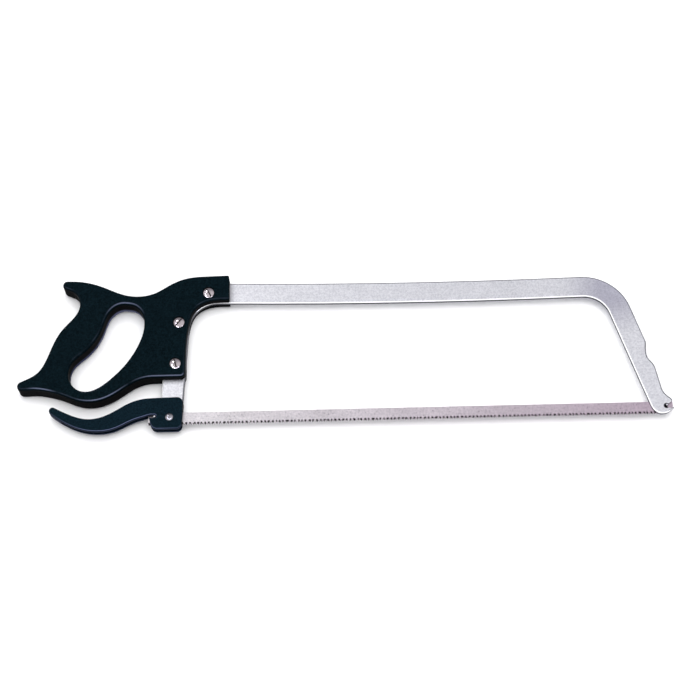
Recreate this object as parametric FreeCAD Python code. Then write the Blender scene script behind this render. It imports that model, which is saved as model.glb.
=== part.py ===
import FreeCAD
import Part
import math
import os

# Bow saw with a flat-bar frame, a closed two-shell handle, an over-centre
# tension lever and a pinned blade. The saw lies on its side: X runs along the
# blade towards the nose, Y from the blade to the top bar, Z is the thickness.
# Shapes are drawn from the lever pivot and moved to the bottom centre at the end.

# Where the lever pivot sits in the part frame, and the middle plane
PIVOT_X = -192.3
PIVOT_Y = -75.65
MID = 12.0

# Height under which an edge counts as lying flat
FLAT = 0.01

# Frame bar
BAR_WIDTH = 25.0
BAR_THICK = 5.0
EDGE_ROUND = 2.0
LEG_LEAN = 3.5
REAR_CORNER = (52.3, 103.0)
REAR_INNER_RADIUS = 32.0
FRONT_CORNER = (461.8, 104.2)
FRONT_INNER_RADIUS = 29.3
FRONT_SLOPE = 17.8
BOW_RADIUS = 7300.0
FOOT_RADIUS = 12.4
KERF = 1.4
FOOT_KERF_TOP = 9.0
NOSE_KERF_TOP = 24.0
NOSE_SEAT_RADIUS = 1.8

# Blade and its cross pins
PIN_SPACING = 558.8
PIN_RADIUS = 1.5
PIN_LENGTH = 11.0
PIN_CHAMFER = 0.5
PIN_Y = 1.4
REAR_PIN_X = -16.2
BLADE_THICK = 0.7
BLADE_BACK = 6.95
BLADE_GULLET = -6.0
BLADE_TIP = -7.35
BLADE_PLAIN = -7.05
BLADE_TAIL = 7.3
BLADE_SNIP_X = 8.4
BLADE_SNIP_Y = 6.4
TOOTH_PITCH = 2.54
TOOTH_RAKE = 0.35
TOOTH_FIRST = 12.0

# Handle shells
HANDLE_THICK = 24.0
HANDLE_ROUND = 3.6
HOLE_ROUND = 4.2
HANDLE_FRONT = 65.0
HANDLE_TOP = 166.0
HANDLE_LOW = 135.6
FRONT_TOP_ROUND = 3.5
FRONT_LOW_ROUND = 1.5
POCKET_GAP = 0.15

# Slotted two-part screws through the handle
SCREW_PLACES = (("top", 42.1, 144.7, -60.0),
                ("middle", 9.5, 109.6, 50.0),
                ("bottom", 6.0, 60.7, -75.0))
HEAD_RADIUS = 6.5
HEAD_RIM = 0.7
HEAD_DOME = 1.9
HEAD_SEAT = 22.4
SLOT_WIDTH = 1.7
SLOT_DEPTH = 1.4
SHANK_RADIUS = 2.5
SLEEVE_RADIUS = 4.0
SLEEVE_TOP = 19.0
NUT_BOTTOM = 0.2
NUT_HEAD = 2.0
NUT_ROUND = 0.6
NUT_SLOT_DEPTH = 1.2
BORE_BOTTOM = 3.5
SCREW_END = 8.0
HOLE_GAP = 0.1

# Tension lever and its two stub rivets
LEVER_THICK = 13.0
LEVER_SLOT = 6.0
LEVER_ROUND = 1.7
REAR_SEAT_RADIUS = 1.6
RIVET_RADIUS = 2.5
RIVET_HEAD_RADIUS = 4.25
RIVET_DOME = 1.6
RUNNING_GAP = 0.05
FIT_GAP = 0.02
SIDE_GAP = 0.1


def vec(x, y, z=0.0):
    return FreeCAD.Vector(x, y, z)


def polar(centre, radius, degrees):
    angle = math.radians(degrees)
    return vec(centre[0] + radius * math.cos(angle), centre[1] + radius * math.sin(angle))


def line(a, b):
    return Part.makeLine(a, b)


def arc(centre, radius, start, end):
    middle = 0.5 * (start + end)
    points = [polar(centre, radius, angle) for angle in (start, middle, end)]
    return Part.Arc(*points).toShape()


def spline(points, start, end):
    """Smooth curve through the points, leaving and arriving along the two directions."""
    poles = [p if isinstance(p, FreeCAD.Vector) else vec(*p) for p in points]
    lengths = [0.0]
    for a, b in zip(poles, poles[1:]):
        lengths.append(lengths[-1] + (b - a).Length)
    leave = vec(*start).normalize()
    arrive = vec(*end).normalize()
    curve = Part.BSplineCurve()
    curve.interpolate(Points=poles, Parameters=lengths, PeriodicFlag=False,
                      InitialTangent=leave, FinalTangent=arrive, Scale=False)
    return curve.toShape()


def closed_spline(points):
    curve = Part.BSplineCurve()
    curve.interpolate(Points=[vec(*p) for p in points], PeriodicFlag=True)
    return curve.toShape()


def plate(edges, bottom, height):
    face = Part.Face(Part.Wire(edges))
    solid = face.extrude(vec(0, 0, height))
    solid.translate(vec(0, 0, bottom))
    return solid


def polygon(points, bottom, height):
    corners = [vec(*p) for p in points]
    face = Part.Face(Part.makePolygon(corners + corners[:1]))
    solid = face.extrude(vec(0, 0, height))
    solid.translate(vec(0, 0, bottom))
    return solid


def box(x0, x1, y0, y1, z0, z1):
    return Part.makeBox(x1 - x0, y1 - y0, z1 - z0, vec(x0, y0, z0))


def cylinder(x, y, radius, bottom, top):
    return Part.makeCylinder(radius, top - bottom, vec(x, y, bottom))


def export(shape, name):
    placed = shape.removeSplitter()
    placed.translate(vec(PIVOT_X, PIVOT_Y, 0))
    placed.exportStep("parts/" + name + ".step")


def bow_centre():
    """Centre of the slight bow of the top bar, tangent to both corner circles."""
    first = vec(*REAR_CORNER)
    second = vec(*FRONT_CORNER)
    reach_a = REAR_INNER_RADIUS + BAR_WIDTH / 2 + BOW_RADIUS
    reach_b = FRONT_INNER_RADIUS + BAR_WIDTH / 2 + BOW_RADIUS
    gap = (second - first).Length
    along = (reach_a ** 2 - reach_b ** 2 + gap ** 2) / (2 * gap)
    up = math.sqrt(reach_a ** 2 - along ** 2)
    ahead = (second - first) / gap
    return first + ahead * along + vec(-ahead.y, ahead.x) * up


def heading(start, end):
    return math.degrees(math.atan2(end.y - start.y, end.x - start.x))


def leg_tangent(width):
    """Where one edge of the rear leg meets its corner, width being 0 or the bar width."""
    return polar(REAR_CORNER, REAR_INNER_RADIUS + width, 180.0 - LEG_LEAN)


def leg_point(width, y):
    top = leg_tangent(width)
    return vec(top.x - (top.y - y) * math.tan(math.radians(LEG_LEAN)), y)


def rear_band(extra, thick):
    """Rear leg, rear corner and the start of the top bar, widened by extra on each side."""
    bow = bow_centre()
    turn = heading(vec(*REAR_CORNER), bow)
    inner = REAR_INNER_RADIUS - extra
    outer = REAR_INNER_RADIUS + BAR_WIDTH + extra
    low_inner = leg_point(-extra, 20.0)
    low_outer = leg_point(BAR_WIDTH + extra, 20.0)
    top_inner = polar(REAR_CORNER, inner, turn)
    top_outer = polar(REAR_CORNER, outer, turn)
    run = vec(60.0, 0)
    edges = [line(low_inner, leg_tangent(-extra)),
             arc(REAR_CORNER, inner, 180.0 - LEG_LEAN, turn),
             line(top_inner, top_inner + run),
             line(top_inner + run, top_outer + run),
             line(top_outer + run, top_outer),
             arc(REAR_CORNER, outer, turn, 180.0 - LEG_LEAN),
             line(leg_tangent(BAR_WIDTH + extra), low_outer),
             line(low_outer, low_inner)]
    return plate(edges, MID - thick / 2, thick)


def frame_edges():
    """Outline of the flat bar frame, from the rear foot over the bar to the nose."""
    bow = bow_centre()
    rear_turn = heading(vec(*REAR_CORNER), bow)
    front_turn = heading(vec(*FRONT_CORNER), bow)
    rear_bow = heading(bow, vec(*REAR_CORNER))
    front_bow = heading(bow, vec(*FRONT_CORNER))
    half = BAR_WIDTH / 2
    rear_outer = REAR_INNER_RADIUS + BAR_WIDTH
    front_outer = FRONT_INNER_RADIUS + BAR_WIDTH
    leg_heading = (math.sin(math.radians(FRONT_SLOPE)), -math.cos(math.radians(FRONT_SLOPE)))

    foot = (1.3, 1.6)
    foot_left = vec(foot[0] - FOOT_RADIUS, foot[1])
    foot_right = vec(foot[0] + FOOT_RADIUS, foot[1])
    foot_bottom = vec(foot[0], foot[1] - FOOT_RADIUS)
    shoulder = polar(FRONT_CORNER, front_outer, FRONT_SLOPE)
    step = vec(*leg_heading) * ((shoulder.y - 79.0) / -leg_heading[1]) + shoulder
    waist = (526.7, 66.0)
    calf = (534.9, 47.0)
    ankle = (539.7, 22.8)
    lip = (549.9, 7.2)
    seat = (REAR_PIN_X + PIN_SPACING, PIN_Y)
    seat_top = polar(seat, NOSE_SEAT_RADIUS, 100.0)
    seat_low = polar(seat, NOSE_SEAT_RADIUS, -75.0)
    hook = (551.5, 0.4)
    sole = (536.5, -7.7)
    heel = (525.6, 2.0)
    inner_top = polar(FRONT_CORNER, FRONT_INNER_RADIUS, FRONT_SLOPE)

    edges = [Part.Arc(foot_right, foot_bottom, foot_left).toShape(),
             line(foot_left, leg_tangent(BAR_WIDTH)),
             arc(REAR_CORNER, rear_outer, 180.0 - LEG_LEAN, rear_turn),
             arc(bow, BOW_RADIUS - half, rear_bow, front_bow),
             arc(FRONT_CORNER, front_outer, front_turn, FRONT_SLOPE),
             line(shoulder, step),
             spline([step, (527.4, 75.5), (526.8, 70.5), waist], leg_heading, (0, -1)),
             spline([waist, (528.4, 57.6), (532.0, 53.0), calf], (0, -1), (0.2, -1)),
             line(vec(*calf), vec(*ankle)),
             spline([ankle, (542.3, 16.8), (547.0, 12.0), (549.7, 9.0), lip], (0.2, -1), (-0.3, -1)),
             spline([lip, (546.5, 4.6), seat_top], (-1.0, -0.5), (-1.0, 0.0)),
             Part.Arc(seat_top, polar(seat, NOSE_SEAT_RADIUS, 192.0), seat_low).toShape(),
             spline([seat_low, (546.2, -1.4), hook], (1.0, 0.0), (0.8, 0.5)),
             spline([hook, (548.6, -3.2), (543.6, -6.6), sole], (-0.4, -1.0), (-1.0, 0.0)),
             spline([sole, (530.6, -5.2), heel], (-1.0, 0.0), (-leg_heading[0], -leg_heading[1])),
             line(vec(*heel), inner_top),
             arc(FRONT_CORNER, FRONT_INNER_RADIUS, FRONT_SLOPE, front_turn),
             arc(bow, BOW_RADIUS + half, front_bow, rear_bow),
             arc(REAR_CORNER, REAR_INNER_RADIUS, rear_turn, 180.0 - LEG_LEAN),
             line(leg_tangent(0.0), foot_right)]
    return edges


def around_nose_notch(bounds):
    return bounds.XMin > 539.0 and bounds.YMax < 8.0


def make_frame():
    body = plate(frame_edges(), MID - BAR_THICK / 2, BAR_THICK)
    rims = [edge for edge in body.Edges
            if edge.BoundBox.ZLength < FLAT and not around_nose_notch(edge.BoundBox)]
    body = body.makeFillet(EDGE_ROUND, rims)
    low = MID - KERF / 2
    high = MID + KERF / 2
    body = body.cut(box(-30.0, 40.0, -30.0, FOOT_KERF_TOP, low, high))
    body = body.cut(box(500.0, 570.0, -30.0, NOSE_KERF_TOP, low, high))
    body = body.cut(cylinder(0, 0, RIVET_RADIUS + FIT_GAP, 0, HANDLE_THICK))
    for name, x, y, turn in SCREW_PLACES:
        body = body.cut(cylinder(x, y, SLEEVE_RADIUS + HOLE_GAP, 0, HANDLE_THICK))
    return body


def handle_edges():
    """Outer outline of the closed handle, counter-clockwise from the front end."""
    upper_tip = (-116.2, 157.9)
    lower_tip = (-161.3, 38.3)
    front_low = vec(HANDLE_FRONT, HANDLE_LOW)
    front_high = vec(HANDLE_FRONT, HANDLE_TOP)
    upper_start = polar(upper_tip, 5.1, 90.0)
    upper_end = polar(upper_tip, 5.1, 240.0)
    lower_start = polar(lower_tip, 5.4, 115.0)
    lower_end = polar(lower_tip, 5.4, 270.0)
    top = [front_high, (40.0, 165.5), (18.0, 163.6), (0.0, 156.6), (-18.0, 146.3),
           (-36.0, 142.7), (-54.0, 145.6), (-75.0, 154.6), (-96.0, 161.3), upper_start]
    rear = [upper_end, (-109.0, 149.0), (-102.9, 141.0), (-101.6, 131.5), (-106.0, 120.8),
            (-119.0, 105.5), (-129.5, 86.5), (-136.5, 68.0), (-145.0, 53.8), lower_start]
    under = [lower_end, (-147.0, 33.1), (-132.0, 30.7), (-116.0, 25.7), (-102.0, 19.9),
             (-88.0, 17.4), (-74.0, 19.3), (-60.0, 25.6), (-47.0, 34.3), (-34.0, 41.6), (-16.0, 44.6)]
    inner = [(17.0, 49.8), (18.8, 97.0), (21.0, 110.0), (26.2, 123.4), (34.2, 130.6), (43.0, 134.2),
             (52.0, 135.5), front_low]
    rise = (-math.sin(math.radians(240.0)), math.cos(math.radians(240.0)))
    fall = (-math.sin(math.radians(115.0)), math.cos(math.radians(115.0)))
    return [line(front_low, front_high),
            spline(top, (-1, 0), (-1, 0)),
            arc(upper_tip, 5.1, 90.0, 240.0),
            spline(rear, rise, fall),
            arc(lower_tip, 5.4, 115.0, 270.0),
            spline(under, (1, 0), (1, 0)),
            line(vec(-16.0, 44.6), vec(11.8, 44.6)),
            arc((11.8, 49.8), 5.2, -90.0, 0.0),
            spline(inner, (0, 1), (1, 0))]


def hand_hole():
    points = [(-50.0, 132.2), (-62.0, 129.2), (-69.6, 120.5), (-75.0, 105.5), (-84.5, 87.0),
              (-96.5, 74.3), (-106.3, 65.0), (-110.8, 54.0), (-108.6, 41.5), (-101.0, 33.2),
              (-90.0, 30.7), (-77.5, 35.0), (-64.0, 45.5), (-50.0, 60.2), (-38.0, 78.8),
              (-31.0, 96.5), (-29.3, 110.0), (-33.0, 123.2), (-40.5, 130.2)]
    return closed_spline(points)


def front_scrap(y, radius, up):
    """What rounding takes off one square corner of the handle's front end."""
    x = HANDLE_FRONT - radius
    centre_y = y - up * radius
    low = min(centre_y, y + up)
    high = max(centre_y, y + up)
    scrap = box(x, HANDLE_FRONT + 1, low, high, 0, HANDLE_THICK)
    return scrap.cut(cylinder(x, centre_y, radius, 0, HANDLE_THICK))


def make_shell(side):
    """One handle shell: side +1 is the upper one with the screw heads, -1 the lower one."""
    blank = plate(handle_edges(), MID, HANDLE_THICK / 2)
    blank = blank.cut(plate([hand_hole()], MID - 1, HANDLE_THICK))
    top_edges = [edge for edge in blank.Edges if edge.BoundBox.ZMin > HANDLE_THICK - FLAT]
    blank = blank.makeFillet(HOLE_ROUND, [edge for edge in top_edges if edge.isClosed()])
    crown = [edge for edge in blank.Edges
             if edge.BoundBox.ZMin > HANDLE_THICK - FLAT and edge.BoundBox.XMin < HANDLE_FRONT - 1
             and not edge.isClosed()]
    blank = blank.makeFillet(HANDLE_ROUND, crown)
    blank = blank.cut(front_scrap(HANDLE_TOP, FRONT_TOP_ROUND, 1))
    blank = blank.cut(front_scrap(HANDLE_LOW, FRONT_LOW_ROUND, -1))
    if side < 0:
        blank = blank.mirror(vec(0, 0, MID), vec(0, 0, 1))
    blank = blank.cut(rear_band(POCKET_GAP, BAR_THICK))
    for name, x, y, turn in SCREW_PLACES:
        blank = blank.cut(cylinder(x, y, SLEEVE_RADIUS + HOLE_GAP, -1, HANDLE_THICK + 1))
        if side > 0:
            blank = blank.cut(cylinder(x, y, HEAD_RADIUS + POCKET_GAP, HEAD_SEAT, HANDLE_THICK + 1))
        else:
            blank = blank.cut(cylinder(x, y, HEAD_RADIUS + POCKET_GAP, -1, NUT_BOTTOM + NUT_HEAD))
    return blank


def dome(radius, rise, rim):
    """Disc of the given radius with a straight rim and a spherical cap, standing on z = 0."""
    sphere = (radius ** 2 + rise ** 2) / (2 * rise)
    ball = Part.makeSphere(sphere, vec(0, 0, rim + rise - sphere))
    return ball.common(Part.makeCylinder(radius, rim + rise + 1))


def make_screw(x, y, turn):
    head = dome(HEAD_RADIUS, HEAD_DOME, HEAD_RIM)
    top = HEAD_RIM + HEAD_DOME
    slot = box(-10.0, 10.0, -SLOT_WIDTH / 2, SLOT_WIDTH / 2, top - SLOT_DEPTH, top + 1)
    slot.rotate(vec(0, 0), vec(0, 0, 1), turn)
    head = head.cut(slot)
    head.translate(vec(x, y, HEAD_SEAT))
    return head.fuse(cylinder(x, y, SHANK_RADIUS, SCREW_END, HEAD_SEAT + 0.3))


def make_nut(x, y, turn):
    head = cylinder(x, y, HEAD_RADIUS, NUT_BOTTOM, NUT_BOTTOM + NUT_HEAD)
    rim = [edge for edge in head.Edges if edge.BoundBox.ZMax < NUT_BOTTOM + 0.1]
    head = head.makeFillet(NUT_ROUND, rim)
    nut = head.fuse(cylinder(x, y, SLEEVE_RADIUS, NUT_BOTTOM + NUT_HEAD - 0.5, SLEEVE_TOP))
    nut = nut.cut(cylinder(x, y, SHANK_RADIUS + RUNNING_GAP, BORE_BOTTOM, SLEEVE_TOP + 1))
    slot = box(-10.0, 10.0, -SLOT_WIDTH / 2, SLOT_WIDTH / 2, -1, NUT_BOTTOM + NUT_SLOT_DEPTH)
    slot.rotate(vec(0, 0), vec(0, 0, 1), turn)
    slot.translate(vec(x, y, 0))
    return nut.cut(slot)


def lever_edges():
    """Outline of the tension lever: square head at the pivot, curved thumb arm to the rear."""
    tail = (-127.4, 10.4)
    tail_low = polar(tail, 4.0, 225.0)
    tail_high = polar(tail, 4.0, 60.0)
    seat = (REAR_PIN_X, PIN_Y)
    seat_top = polar(seat, REAR_SEAT_RADIUS, 90.0)
    seat_low = polar(seat, REAR_SEAT_RADIUS, -90.0)
    crest = [tail_high, (-112.0, 6.9), (-100.0, 2.1), (-88.0, 0.0), (-75.0, 1.8), (-60.0, 8.5),
             (-45.0, 17.0), (-30.0, 21.8), (-12.0, 22.9)]
    belly = [(-26.0, 1.6), (-40.0, -2.9), (-55.0, -10.2), (-66.0, -13.8), (-78.0, -14.8),
             (-92.0, -13.2), (-107.0, -7.8), (-120.0, -0.4), tail_low]
    mouth = vec(-21.9, PIN_Y - REAR_SEAT_RADIUS)
    gill = vec(-19.5, PIN_Y + REAR_SEAT_RADIUS)
    return [Part.Arc(tail_low, polar(tail, 4.0, 142.5), tail_high).toShape(),
            spline(crest, (0.87, -0.5), (1, 0.02)),
            line(vec(-12.0, 22.9), vec(7.8, 23.3)),
            arc((7.8, 16.3), 7.0, 90.0, 0.0),
            line(vec(14.8, 16.3), vec(13.6, -7.5)),
            spline([(13.6, -7.5), (11.9, -11.7), (7.6, -13.6)], (-0.05, -1), (-1, 0)),
            line(vec(7.6, -13.6), vec(-12.5, -13.6)),
            spline([(-12.5, -13.6), (-18.2, -11.6), (-20.8, -7.0), mouth], (-1, 0), (-0.15, 1)),
            line(mouth, seat_low),
            Part.Arc(seat_low, polar(seat, REAR_SEAT_RADIUS, 0.0), seat_top).toShape(),
            line(seat_top, gill),
            spline([gill] + belly, (-1, 0), (-0.71, 0.71))]


def around_rear_seat(bounds):
    return bounds.XMin > -22.5 and bounds.XMax < -13.5 and bounds.YMin > -0.3


def make_lever():
    low = MID - LEVER_THICK / 2
    body = plate(lever_edges(), low, LEVER_THICK)
    rims = [edge for edge in body.Edges
            if edge.BoundBox.ZLength < FLAT and not around_rear_seat(edge.BoundBox)]
    body = body.makeFillet(LEVER_ROUND, rims)
    channel = [(40.0, 60.0), (-13.4, 60.0), (-13.4, 14.5), (-30.0, 15.6), (-45.0, 11.3), (-60.0, 3.2),
               (-75.0, -3.4), (-88.0, -5.0), (-100.0, -3.0), (-110.0, 0.6), (-118.0, 4.0),
               (-118.0, -30.0), (40.0, -30.0)]
    body = body.cut(polygon(channel, MID - LEVER_SLOT / 2, LEVER_SLOT))
    return body.cut(cylinder(0, 0, RIVET_RADIUS + RUNNING_GAP, 0, HANDLE_THICK))


def make_rivet(side):
    """Stub rivet through one lever cheek into one tine of the leg's foot."""
    outer = LEVER_THICK / 2 + SIDE_GAP
    head = dome(RIVET_HEAD_RADIUS, RIVET_DOME, 0.3)
    head.translate(vec(0, 0, outer))
    stub = head.fuse(cylinder(0, 0, RIVET_RADIUS, KERF / 2, outer + 0.2))
    if side < 0:
        stub = stub.mirror(vec(0, 0, 0), vec(0, 0, 1))
    stub.translate(vec(0, 0, MID))
    return stub


def make_blade():
    """Thin strip with a saw-tooth lower edge, a hole near each end and a snipped front corner."""
    left = REAR_PIN_X - BLADE_TAIL
    right = REAR_PIN_X + PIN_SPACING + BLADE_TAIL
    count = int((right - left - 2 * TOOTH_FIRST) / TOOTH_PITCH)
    start = (left + right - count * TOOTH_PITCH) / 2
    end = start + count * TOOTH_PITCH
    points = [(right, BLADE_BACK), (left, BLADE_BACK), (left, BLADE_PLAIN), (start - 1.0, BLADE_PLAIN)]
    for number in range(count):
        x = start + number * TOOTH_PITCH
        points.append((x, BLADE_GULLET))
        points.append((x + TOOTH_PITCH - TOOTH_RAKE, BLADE_TIP))
    points.append((end, BLADE_GULLET))
    points.append((end + 1.0, BLADE_PLAIN))
    points.append((right - BLADE_SNIP_X, BLADE_PLAIN))
    points.append((right, BLADE_PLAIN + BLADE_SNIP_Y))
    strip = polygon(points, MID - BLADE_THICK / 2, BLADE_THICK)
    for x in (REAR_PIN_X, REAR_PIN_X + PIN_SPACING):
        strip = strip.cut(cylinder(x, PIN_Y, PIN_RADIUS + FIT_GAP, 0, HANDLE_THICK))
    return strip


def make_pin(x):
    pin = cylinder(x, PIN_Y, PIN_RADIUS, MID - PIN_LENGTH / 2, MID + PIN_LENGTH / 2)
    return pin.makeChamfer(PIN_CHAMFER, [pin.Edges[0], pin.Edges[2]])


os.makedirs("parts", exist_ok=True)

export(make_frame(), "bow_frame")
export(make_shell(1), "handle_shell_upper")
export(make_shell(-1), "handle_shell_lower")
for label, px, py, angle in SCREW_PLACES:
    export(make_screw(px, py, angle), "handle_screw_" + label)
    export(make_nut(px, py, angle + 25.0), "sleeve_nut_" + label)
export(make_lever(), "tension_lever")
export(make_rivet(1), "pivot_rivet_upper")
export(make_rivet(-1), "pivot_rivet_lower")
export(make_blade(), "blade")
export(make_pin(REAR_PIN_X), "blade_pin_rear")
export(make_pin(REAR_PIN_X + PIN_SPACING), "blade_pin_front")
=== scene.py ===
import math
import bpy
import numpy as np
from mathutils import Vector, Matrix


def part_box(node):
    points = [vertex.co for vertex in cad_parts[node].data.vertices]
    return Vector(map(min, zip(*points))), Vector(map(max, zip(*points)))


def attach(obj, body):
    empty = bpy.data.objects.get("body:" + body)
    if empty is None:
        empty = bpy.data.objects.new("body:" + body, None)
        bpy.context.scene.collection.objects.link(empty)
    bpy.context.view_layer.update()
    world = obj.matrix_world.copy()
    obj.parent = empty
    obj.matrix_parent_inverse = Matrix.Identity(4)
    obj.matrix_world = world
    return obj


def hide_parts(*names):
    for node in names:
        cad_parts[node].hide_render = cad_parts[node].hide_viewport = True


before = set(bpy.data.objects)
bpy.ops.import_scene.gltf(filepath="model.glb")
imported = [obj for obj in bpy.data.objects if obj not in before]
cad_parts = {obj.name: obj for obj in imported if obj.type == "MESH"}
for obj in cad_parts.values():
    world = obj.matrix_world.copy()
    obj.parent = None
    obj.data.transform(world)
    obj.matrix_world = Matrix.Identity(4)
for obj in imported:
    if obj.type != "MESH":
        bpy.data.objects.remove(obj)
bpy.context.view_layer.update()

WHITE = (1.0, 1.0, 1.0)
BLACK = (0.0, 0.0, 0.0)

# Places the materials are laid out from, in metres.
pivot_low, pivot_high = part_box("pivot_rivet_upper")
PIVOT_X = 0.5 * (pivot_low[0] + pivot_high[0])
PIVOT_Y = 0.5 * (pivot_low[1] + pivot_high[1])
pin_low, pin_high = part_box("blade_pin_front")
NOSE_PIN = (0.5 * (pin_low[0] + pin_high[0]), 0.5 * (pin_low[1] + pin_high[1]), pin_high[2])
NOSE_SEAT = (NOSE_PIN[0], NOSE_PIN[1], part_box("bow_frame")[1][2])
BOW_CORNER = (0.302, 0.066, 0.012)
BLADE_FRONT = (0.36, -0.075, 0.012)
blade_low, blade_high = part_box("blade")


def by_pivot(x, y, z):
    """A place given from the lever's pivot in X and Y and from the floor in Z."""
    return (PIVOT_X + x, PIVOT_Y + y, z)


# ---------------------------------------------------------------- node shorthand
class Nodes:
    """Short names for building one node tree."""

    def __init__(self, tree):
        self.tree = tree
        self.coordinates = tree.nodes.new("ShaderNodeTexCoord")
        self.place = self.coordinates.outputs["Object"]

    def join(self, source, socket):
        self.tree.links.new(source, socket)

    def feed(self, socket, value):
        """Set a socket to a number or a colour, or link it to another node's output."""
        if isinstance(value, (float, int)):
            socket.default_value = value
        elif isinstance(value, tuple):
            socket.default_value = (*value, 1.0)
        else:
            self.join(value, socket)

    def stretched(self, scale):
        """Place in the object, multiplied by a scale along each axis."""
        node = self.tree.nodes.new("ShaderNodeMapping")
        node.inputs["Scale"].default_value = scale
        self.join(self.place, node.inputs["Vector"])
        return node.outputs[0]

    def noise(self, scale, detail, rough=0.55, vector=None):
        """Cloudy noise from 0 to 1 with so many clouds a metre."""
        node = self.tree.nodes.new("ShaderNodeTexNoise")
        node.inputs["Scale"].default_value = scale
        node.inputs["Detail"].default_value = detail
        node.inputs["Roughness"].default_value = rough
        self.join(vector or self.place, node.inputs["Vector"])
        return node.outputs["Fac"]

    def ramp(self, value, stops):
        """Colour read off a row of (value, colour) stops."""
        node = self.tree.nodes.new("ShaderNodeValToRGB")
        band = node.color_ramp
        while len(band.elements) < len(stops):
            band.elements.new(0.5)
        for element, (position, colour) in zip(band.elements, stops):
            element.position = position
            element.color = (*colour, 1.0)
        self.join(value, node.inputs["Fac"])
        return node.outputs["Color"]

    def span(self, value, low, high, to_low=0.0, to_high=1.0):
        """The value carried from one range to another in a straight line and held at the ends."""
        node = self.tree.nodes.new("ShaderNodeMapRange")
        names = ("From Min", "From Max", "To Min", "To Max")
        for key, number in zip(names, (low, high, to_low, to_high)):
            node.inputs[key].default_value = number
        self.join(value, node.inputs["Value"])
        return node.outputs["Result"]

    def mix(self, share, a, b, mode="MIX"):
        """Colour a with colour b laid over it by the share."""
        node = self.tree.nodes.new("ShaderNodeMix")
        node.data_type = "RGBA"
        node.blend_type = mode
        for number, value in ((0, share), (6, a), (7, b)):
            self.feed(node.inputs[number], value)
        return node.outputs[2]

    def bump(self, height, strength, distance, normal=None):
        """Normal of a surface with the height pressed into it."""
        node = self.tree.nodes.new("ShaderNodeBump")
        node.inputs["Strength"].default_value = strength
        node.inputs["Distance"].default_value = distance
        self.join(height, node.inputs["Height"])
        if normal:
            self.join(normal, node.inputs["Normal"])
        return node.outputs["Normal"]

    def calc(self, operation, a, b=0.0):
        """One step of arithmetic."""
        node = self.tree.nodes.new("ShaderNodeMath")
        node.operation = operation
        self.feed(node.inputs[0], a)
        self.feed(node.inputs[1], b)
        return node.outputs[0]

    def product(self, a, *others):
        for other in others:
            a = self.calc("MULTIPLY", a, other)
        return a

    def part(self, vector, axis):
        """One of a vector's three numbers: 0 is X, 1 is Y and 2 is Z."""
        node = self.tree.nodes.new("ShaderNodeSeparateXYZ")
        self.join(vector, node.inputs[0])
        return node.outputs[axis]

    def along(self, axis):
        """Place along one axis, in metres."""
        return self.part(self.place, axis)

    def normal(self, axis):
        """How far the surface faces along one axis, from -1 to 1."""
        return self.part(self.coordinates.outputs["Normal"], axis)

    def upright(self):
        """How far the surface faces up or down: 1 on the flats, 0 on the side walls."""
        return self.calc("ABSOLUTE", self.normal(2))

    def gap(self, centre):
        """Distance from a place, in metres."""
        node = self.tree.nodes.new("ShaderNodeVectorMath")
        node.operation = "DISTANCE"
        node.inputs[1].default_value = centre
        self.join(self.place, node.inputs[0])
        return node.outputs["Value"]


def surface(name, build):
    """New material whose surface has what build(nodes) returns, a value for each named input."""
    material = bpy.data.materials.new(name)
    material.use_nodes = True
    material.node_tree.nodes.clear()
    nodes = Nodes(material.node_tree)
    out = nodes.tree.nodes.new("ShaderNodeOutputMaterial")
    shader = nodes.tree.nodes.new("ShaderNodeBsdfPrincipled")
    nodes.join(shader.outputs[0], out.inputs[0])
    for key, value in build(nodes).items():
        nodes.feed(shader.inputs[key], value)
    return material


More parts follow.
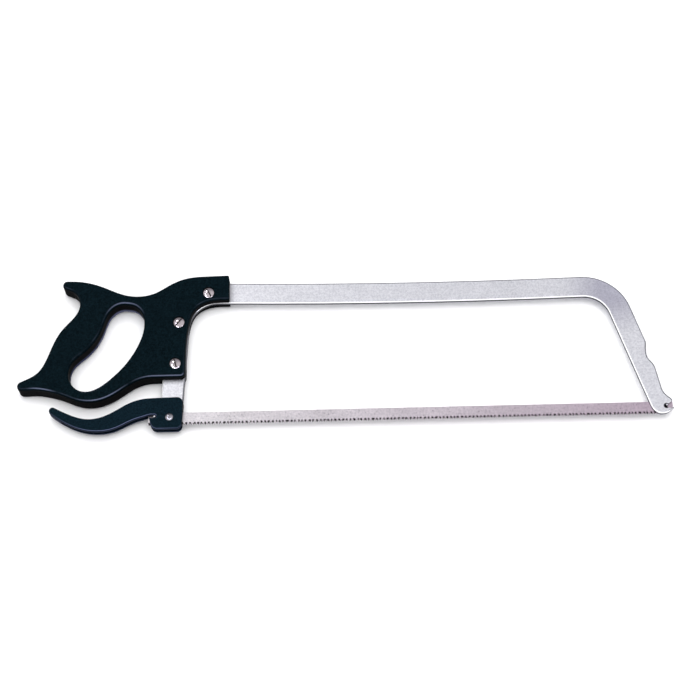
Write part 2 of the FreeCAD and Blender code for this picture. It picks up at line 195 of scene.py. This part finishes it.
# ---------------------------------------------------------------- materials
def steel(name, light, dark, edge, wall_shade, rough, grain, fades=(), teeth=None, slot_shade=None, painted_highlight=None):
    """Satin steel: soft clouding, streaks along the bar, fine pits, rounded rims, side walls painted dark as
    shade.

    light and dark colour the flats. edge colours the rounded rims; on the frame, blade and pins it is
    darker than the flats, painted shade along the rims. wall_shade colours the side walls darker, painted
    shade.
    rough is the least and the most roughness, grain the depth of the relief in metres.
    fades lists (centre, near, far, tone): the colour is multiplied by a tone that goes from
    the given one at the near radius to white at the far radius. teeth is (low, high, tone):
    the row of teeth, dashed with the tone below low in Y and clear above high, painted shade along
    the tooth row. slot_shade is (low, high, tone): painted shade on level faces between two heights
    in Z, in a slot. painted_highlight is the matt colour of the rims that face down and back, on the
    bow's inner side: a painted highlight.
    """
    cloud_scale, streak_scale, mottle_scale, speck_scale = 26.0, (60.0, 1500.0, 1500.0), 430.0, 1500.0
    down, back = 0.86, 0.5
    dash_turns, dash_scatter, scatter_scale = 1550.0, 7.0, 180.0
    level_face = 0.9995

    def build(n):
        cloud = n.noise(cloud_scale, 3.0)
        streak = n.noise(1.0, 3.0, 0.6, n.stretched(streak_scale))
        mottle = n.noise(mottle_scale, 3.0, 0.7)
        speck = n.noise(speck_scale, 2.0, 0.7)
        tone = n.ramp(cloud, ((0.30, dark), (0.70, light)))
        tone = n.mix(0.22, tone, n.ramp(streak, ((0.3, (0.55, 0.55, 0.57)), (0.7, WHITE))), "MULTIPLY")
        tone = n.mix(0.85, tone, n.ramp(mottle, ((0.34, (0.74, 0.74, 0.76)), (0.62, WHITE))), "MULTIPLY")
        tone = n.mix(0.35, tone, n.ramp(speck, ((0.36, (0.6, 0.6, 0.62)), (0.64, WHITE))), "MULTIPLY")
        for centre, near, far, shade in fades:
            faded = n.mix(1.0, tone, shade, "MULTIPLY")
            tone = n.mix(n.span(n.gap(centre), near, far, 1.0, 0.0), tone, faded)
        facing = n.upright()
        rim = n.span(facing, 0.995, 0.96)
        side = n.span(facing, 0.70, 0.40)
        # Rims take the edge colour; on the frame, blade and pins it is darker than the flats: painted shade
        # along the rims.
        tone = n.mix(n.product(rim, 0.8), tone, edge)
        metal = 1.0
        # Painted highlight: rims that face down and back on the bow's inner side turn white and not metallic.
        if painted_highlight:
            inner = n.calc("ADD", n.product(n.normal(0), back), n.product(n.normal(1), down))
            bright = n.product(n.span(inner, -0.10, -0.25), n.span(facing, 0.45, 0.70), rim)
            tone = n.mix(bright, tone, painted_highlight)
            metal = n.span(bright, 0.0, 1.0, 1.0, 0.0)
        scale = n.ramp(mottle, ((0.3, (0.5, 0.5, 0.55)), (0.7, WHITE)))
        # Side walls take the dark wall colour, mottled: painted shade.
        tone = n.mix(side, tone, n.mix(0.8, wall_shade, scale, "MULTIPLY"))
        # Painted shade: the tooth row is dashed dark.
        if teeth:
            low, high, shade = teeth
            phase = n.product(n.noise(scatter_scale, 1.0), dash_scatter)
            wave = n.calc("SINE", n.calc("ADD", n.product(n.along(0), dash_turns), phase))
            dash = n.ramp(n.span(wave, -1.0, 1.0), ((0.48, shade), (0.56, (1.0, 0.98, 1.0))))
            dashed = n.mix(1.0, tone, dash, "MULTIPLY")
            tone = n.mix(n.span(n.along(1), low, high, 1.0, 0.0), tone, dashed)
        # Painted shade: level faces deep in a slot are darkened.
        if slot_shade:
            low, high, shade = slot_shade
            above = n.calc("GREATER_THAN", n.along(2), low)
            below = n.calc("LESS_THAN", n.along(2), high)
            tone = n.mix(n.product(above, below, n.calc("GREATER_THAN", facing, level_face)), tone, shade)
        shine = n.span(mottle, 0.3, 0.7, rough[0], rough[1])
        shine = n.product(shine, n.span(rim, 0.0, 1.0, 1.0, 0.55))
        shine = n.calc("ADD", shine, n.product(side, 0.3))
        relief = n.bump(mottle, 0.30, grain, n.bump(streak, 0.35, grain))
        return {"Base Color": tone, "Metallic": metal, "Roughness": shine, "Normal": relief}

    return surface(name, build)


def plastic(name, low, high, highlight_tone, rough, level, grain, size, wall_bounce_light=(), lit_wall_bands=(), painted_highlight=()):
    """Dark moulded or painted skin: speckled grain, smoother rims, a painted highlight on the rims and painted
    shade and light on the side walls.

    low and high colour the flats; the side walls are painted nearly black, painted shade. highlight_tone
    is the painted highlight on the rims that face the teeth. rough is the least and the most
    roughness, level the strength of the gloss, grain the depth of the relief in metres and
    size its grains a metre. wall_bounce_light lists (centre, radius, tone): inside such a ball the side
    walls get the tone near the far face, painted light from the bright floor. lit_wall_bands lists
    (height, half, tone): painted light in bands along the walls that face the teeth, at that height.
    painted_highlight lists (centre, radius): balls inside which the painted rim highlight is at full strength.
    """
    blotch_scale, broad_scale = 600.0, 45.0
    shaded_wall = (0.0001, 0.0004, 0.0008)
    ball_edge, far_face = 0.006, (0.0100, 0.0060)

    def build(n):
        fine = n.noise(size, 3.0, 0.65)
        blotch = n.noise(blotch_scale, 3.0, 0.7)
        broad = n.noise(broad_scale, 2.0)
        tone = n.ramp(blotch, ((0.36, low), (0.66, high)))
        tone = n.mix(0.30, tone, n.ramp(broad, ((0.3, (0.5, 0.55, 0.6)), (0.7, WHITE))), "MULTIPLY")
        facing = n.upright()
        side = n.span(facing, 0.50, 0.20)
        tone = n.mix(side, tone, shaded_wall)
        # Painted highlight: rims that face the teeth take a light colour, in patches, fully inside the balls.
        rim = n.ramp(facing, ((0.72, BLACK), (0.80, WHITE), (0.92, WHITE), (0.97, BLACK)))
        toothward = n.span(n.normal(1), -0.05, -0.30, 0.10, 1.0)
        spots = n.span(broad, 0.40, 0.65, 0.02, 0.16)
        for centre, radius in painted_highlight:
            spots = n.calc("MAXIMUM", spots, n.span(n.gap(centre), radius, 0.3 * radius))
        tone = n.mix(n.product(rim, toothward, spots), tone, highlight_tone)
        rise = n.along(2)
        # Painted light from the bright floor on the side walls near the far face, inside each ball.
        for centre, radius, shade in wall_bounce_light:
            ball = n.span(n.gap(centre), radius, radius - ball_edge)
            tone = n.mix(n.product(ball, n.span(rise, *far_face), side), tone, shade)
        # Painted light in bands along the walls that face the teeth.
        for height, half, shade in lit_wall_bands:
            apart = n.calc("ABSOLUTE", n.calc("SUBTRACT", rise, height))
            line = n.span(apart, half, 0.6 * half)
            tone = n.mix(n.product(line, side, toothward), tone, shade)
        shine = n.span(fine, 0.3, 0.7, rough[0], rough[1])
        shine = n.product(shine, n.span(facing, 0.98, 0.90, 1.0, 0.6))
        shine = n.calc("ADD", shine, n.span(facing, 0.20, 0.02, 0.0, 0.35))
        return {"Base Color": tone, "Metallic": 0.0, "Roughness": shine,
                "Normal": n.bump(fine, 0.5, grain), "Specular IOR Level": level}

    return surface(name, build)


# Frame: the fade at BOW_CORNER darkens the bow's corner, painted shade; the fade at NOSE_SEAT blackens the jaw
# round the nose pin, a painted shadow in the gap.
frame_steel = steel(
    "frame_steel", light=(0.97, 0.97, 1.0), dark=(0.90, 0.90, 0.93), edge=(0.16, 0.16, 0.18),
    wall_shade=(0.06, 0.06, 0.07), rough=(0.30, 0.42), grain=0.00002, painted_highlight=(0.97, 0.97, 0.99),
    fades=[(BOW_CORNER, 0.015, 0.055, (0.68, 0.67, 0.74)), (NOSE_SEAT, 0.0027, 0.0034, (0.02, 0.02, 0.03))])
# Blade: dark dashes along the tooth row and the darker rims and walls are painted shade; the fade darkens and
# tints the blade towards its front.
blade_steel = steel(
    "blade_steel", light=(0.95, 0.905, 0.92), dark=(0.82, 0.78, 0.79), edge=(0.40, 0.38, 0.38),
    wall_shade=(0.16, 0.15, 0.16), rough=(0.26, 0.40), grain=0.00001,
    fades=[(BLADE_FRONT, 0.02, 0.50, (0.70, 0.60, 0.68))],
    teeth=(blade_low[1] + 0.0028, blade_low[1] + 0.0034, (0.04, 0.035, 0.04)))
# Screws: level faces deep in the slots are dark, painted shade in the slots; the dark walls are painted shade
# too.
screw_steel = steel(
    "screw_steel", light=(0.62, 0.55, 0.57), dark=(0.36, 0.32, 0.33), edge=(0.56, 0.50, 0.52),
    wall_shade=(0.05, 0.045, 0.045), rough=(0.16, 0.26), grain=0.00001, slot_shade=(0.0008, 0.0243, (0.07, 0.06, 0.06)))
rivet_steel = steel(
    "rivet_steel", light=(0.38, 0.37, 0.40), dark=(0.24, 0.23, 0.26), edge=(0.42, 0.41, 0.44),
    wall_shade=(0.10, 0.10, 0.11), rough=(0.24, 0.36), grain=0.00001)
# Pins: black rims and walls, and on the nose pin a dark ring past 1.2 mm from its centre: painted shade round
# the pins.
pin_look = {"light": (0.90, 0.90, 0.94), "dark": (0.70, 0.70, 0.74), "edge": BLACK, "wall_shade": BLACK,
            "rough": (0.30, 0.45), "grain": 0.00001}
pin_steel = steel("pin_steel", **pin_look)
nose_pin_steel = steel("nose_pin_steel", fades=[(NOSE_PIN, 0.00120, 0.00095, (0.02, 0.02, 0.02))], **pin_look)
# Handle: the first two balls paint light from the floor on the side walls near the far face; the four others
# set where the painted rim highlight is strongest.
handle_skin = plastic(
    "handle_skin", low=(0.0003, 0.0022, 0.0034), high=(0.0030, 0.0095, 0.0135), highlight_tone=(0.090, 0.105, 0.160),
    rough=(0.36, 0.52), level=0.012, grain=0.00006, size=1500.0,
    wall_bounce_light=[(by_pivot(-0.055, 0.108, 0.012), 0.036, (0.130, 0.140, 0.230)),
             (by_pivot(-0.092, 0.058, 0.012), 0.036, (0.060, 0.066, 0.130))],
    painted_highlight=[(by_pivot(-0.051, 0.126, 0.022), 0.024), (by_pivot(-0.073, 0.022, 0.022), 0.034),
            (by_pivot(-0.004, 0.046, 0.022), 0.040), (by_pivot(-0.140, 0.033, 0.022), 0.018)])
# Lever: two bands of painted light along the walls that face the teeth, and a painted rim highlight strongest
# within 90 mm of the ball's centre.
lever_skin = plastic(
    "lever_skin", low=(0.0006, 0.0040, 0.0070), high=(0.0045, 0.0150, 0.0230), highlight_tone=(0.100, 0.120, 0.210),
    rough=(0.22, 0.34), level=0.020, grain=0.00003, size=2200.0,
    lit_wall_bands=[(0.0165, 0.0030, (0.012, 0.016, 0.036)), (0.0095, 0.0024, (0.034, 0.042, 0.090))],
    painted_highlight=[(by_pivot(-0.055, -0.010, 0.020), 0.090)])

looks = {"bow_frame": frame_steel, "blade": blade_steel, "blade_pin_rear": pin_steel,
         "blade_pin_front": nose_pin_steel, "tension_lever": lever_skin, "handle_shell_upper": handle_skin,
         "handle_shell_lower": handle_skin, "pivot_rivet_upper": rivet_steel, "pivot_rivet_lower": rivet_steel}
for node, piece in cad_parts.items():
    piece.data.materials.clear()
    piece.data.materials.append(looks.get(node, screw_steel))


# ---------------------------------------------------------------- blade
def saw_blade(low, high):
    """Toothed strip: one closed eight-point section carried along x.

    The lower edge is y = tip + depth * g(x), where g falls from 1 to 0 over the pitch less
    the rake and jumps back to 1 over the rake. Below the root line, one millimetre above
    the gullets, the section thins to half, and its edge leans out of the plane by
    spread * (1 - g), to one side and the other on alternate teeth. Past the last tooth the
    lower front corner is snipped off in a straight line.
    """
    pitch, depth, rake, plain_end, spread = 0.00254, 0.00135, 0.00035, 0.012, 0.00024
    snip_x, snip_y = 0.0084, 0.0064
    chamfer, root_line, least_root, end_step = 0.0001, 0.001, 0.0003, 0.001
    plain_edge = 0.22
    count = int((high[0] - low[0] - 2 * plain_end) / pitch)
    start = 0.5 * (low[0] + high[0] - count * pitch)
    finish = start + count * pitch
    tooth = np.arange(count)
    gullet_x = start + pitch * tooth
    x = np.concatenate(([low[0], start - end_step], np.stack([gullet_x, gullet_x + pitch - rake], 1).ravel(),
                        [finish, finish + end_step, high[0] - snip_x, high[0]]))
    g = np.concatenate(([plain_edge, plain_edge], np.tile([1.0, 0.0], count),
                        [1.0, plain_edge, plain_edge, plain_edge + snip_y / depth]))
    lean = np.concatenate(([0, 0], np.repeat(np.where(tooth % 2, -1.0, 1.0), 2), [0, 0, 0, 0]))
    lean = lean * spread * (1 - g)
    middle = 0.5 * (low[2] + high[2])
    half = 0.5 * (high[2] - low[2])
    edge = low[1] + depth * g
    root = np.maximum(low[1] + depth + root_line, edge + least_root)
    back = np.full_like(x, high[1])
    y = np.stack([back, back - chamfer, root, edge, edge, root, back - chamfer, back], 1)
    side = np.array([half - chamfer, half, half, half * 0.5, -half * 0.5, -half, -half, chamfer - half])
    z = middle + side[None, :] + lean[:, None] * np.array([0, 0, 0, 1, 1, 0, 0, 0])[None, :]
    points = np.stack([np.broadcast_to(x[:, None], y.shape), y, z], 2).reshape(-1, 3)
    corner = np.arange(8)
    after = (corner + 1) % 8
    ring = 8 * np.arange(len(x) - 1)[:, None]
    quads = np.stack([ring + corner, ring + after, ring + 8 + after, ring + 8 + corner], 2)
    ends = [tuple(corner[::-1]), tuple(8 * (len(x) - 1) + corner)]
    mesh = bpy.data.meshes.new("toothed_blade")
    mesh.from_pydata(points.tolist(), [], quads.reshape(-1, 4).tolist() + ends)
    piece = bpy.data.objects.new("toothed_blade", mesh)
    bpy.context.scene.collection.objects.link(piece)
    piece.data.materials.append(blade_steel)
    return piece


toothed_blade = saw_blade(blade_low, blade_high)
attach(toothed_blade, "blade")
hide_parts("blade")

# ---------------------------------------------------------------- floor
FLOOR_HALF = 14.0
FLOOR_DROP = 0.0004

floor_mesh = bpy.data.meshes.new("floor")
floor_mesh.from_pydata([(-FLOOR_HALF, -FLOOR_HALF, 0), (FLOOR_HALF, -FLOOR_HALF, 0),
                        (FLOOR_HALF, FLOOR_HALF, 0), (-FLOOR_HALF, FLOOR_HALF, 0)], [], [(0, 1, 2, 3)])
floor = bpy.data.objects.new("floor", floor_mesh)
bpy.context.scene.collection.objects.link(floor)
floor.location = (0.0, 0.0, -FLOOR_DROP)
floor.data.materials.append(surface("floor_white", lambda n: {
    "Base Color": (0.96, 0.96, 0.96), "Roughness": 0.9, "Specular IOR Level": 0.0}))


# ---------------------------------------------------------------- lights
def area(name, place, target, size, power, colour=WHITE):
    """Rectangular lamp at a place, turned to a target."""
    lamp = bpy.data.lights.new(name, "AREA")
    lamp.shape = "RECTANGLE"
    lamp.size, lamp.size_y = size
    lamp.energy = power
    lamp.color = colour
    light = bpy.data.objects.new(name, lamp)
    bpy.context.scene.collection.objects.link(light)
    light.location = place
    light.rotation_euler = (Vector(target) - Vector(place)).to_track_quat("-Z", "Y").to_euler()
    return light


DOME_STRENGTH = 0.97
world = bpy.data.worlds.new("studio")
bpy.context.scene.world = world
world.use_nodes = True
bpy.context.scene.view_settings.view_transform = "Standard"
sky = Nodes(world.node_tree)
toward = sky.coordinates.outputs["Generated"]
dome = sky.ramp(sky.span(sky.part(toward, 2), -1.0, 1.0), (
    (0.0, (0.95, 0.95, 0.96)), (0.50, (0.95, 0.95, 0.96)), (0.52, (0.50, 0.50, 0.51)),
    (0.68, (0.62, 0.62, 0.64)), (0.84, (0.90, 0.90, 0.93)), (1.0, (1.0, 1.0, 1.02))))
rear = sky.ramp(sky.span(sky.part(toward, 1), -1.0, 1.0), (
    (0.0, WHITE), (0.66, WHITE), (0.705, (0.97, 0.97, 0.97)),
    (0.84, (0.64, 0.64, 0.66)), (1.0, (0.35, 0.35, 0.36))))
background = sky.tree.nodes["Background"]
sky.join(sky.mix(1.0, dome, rear, "MULTIPLY"), background.inputs["Color"])
background.inputs["Strength"].default_value = DOME_STRENGTH

key = area("key", (0.0, 1.0, 4.0), (0, 0, 0), (4.6, 4.0), 175.0)
key.visible_glossy = False
STRIP_RADIUS = 2.20
STRIP_HEIGHT = 2.75
STRIP_POWER = 12.0
for number, turn in enumerate((182, 213, 248, 283, 318)):
    across = math.radians(turn)
    place = (STRIP_RADIUS * math.cos(across), STRIP_RADIUS * math.sin(across), STRIP_HEIGHT)
    strip = area("strip_%d" % number, place, (0.05, 0, 0), (1.38, 0.22), STRIP_POWER, (0.84, 0.88, 1.0))
    strip.visible_diffuse = False
spark = area("spark", (-0.9, 1.1, 1.5), (-0.15, 0, 0), (0.3, 0.3), 5.0)
spark.visible_diffuse = False

# ---------------------------------------------------------------- camera
AZIMUTH = math.radians(-1.4)
ELEVATION = math.radians(68.0)
DISTANCE = 1.8
SENSOR_WIDTH = 36.0
FOCAL_WIDTHS = 2.318142857142857
aim = Vector(by_pivot(0.1985, 0.0762, 0.012))
back = Vector((math.sin(AZIMUTH) * math.cos(ELEVATION), -math.cos(AZIMUTH) * math.cos(ELEVATION),
               math.sin(ELEVATION)))
right = Vector((math.cos(AZIMUTH), math.sin(AZIMUTH), 0.0))
up = back.cross(right)
camera_data = bpy.data.cameras.new("camera")
camera_data.sensor_width = SENSOR_WIDTH
camera_data.lens = SENSOR_WIDTH * FOCAL_WIDTHS
camera_data.clip_end = 50.0
camera = bpy.data.objects.new("camera", camera_data)
bpy.context.scene.collection.objects.link(camera)
turned = Matrix((right, up, back)).transposed().to_4x4()
camera.matrix_world = Matrix.Translation(aim + back * DISTANCE) @ turned
bpy.context.scene.camera = camera
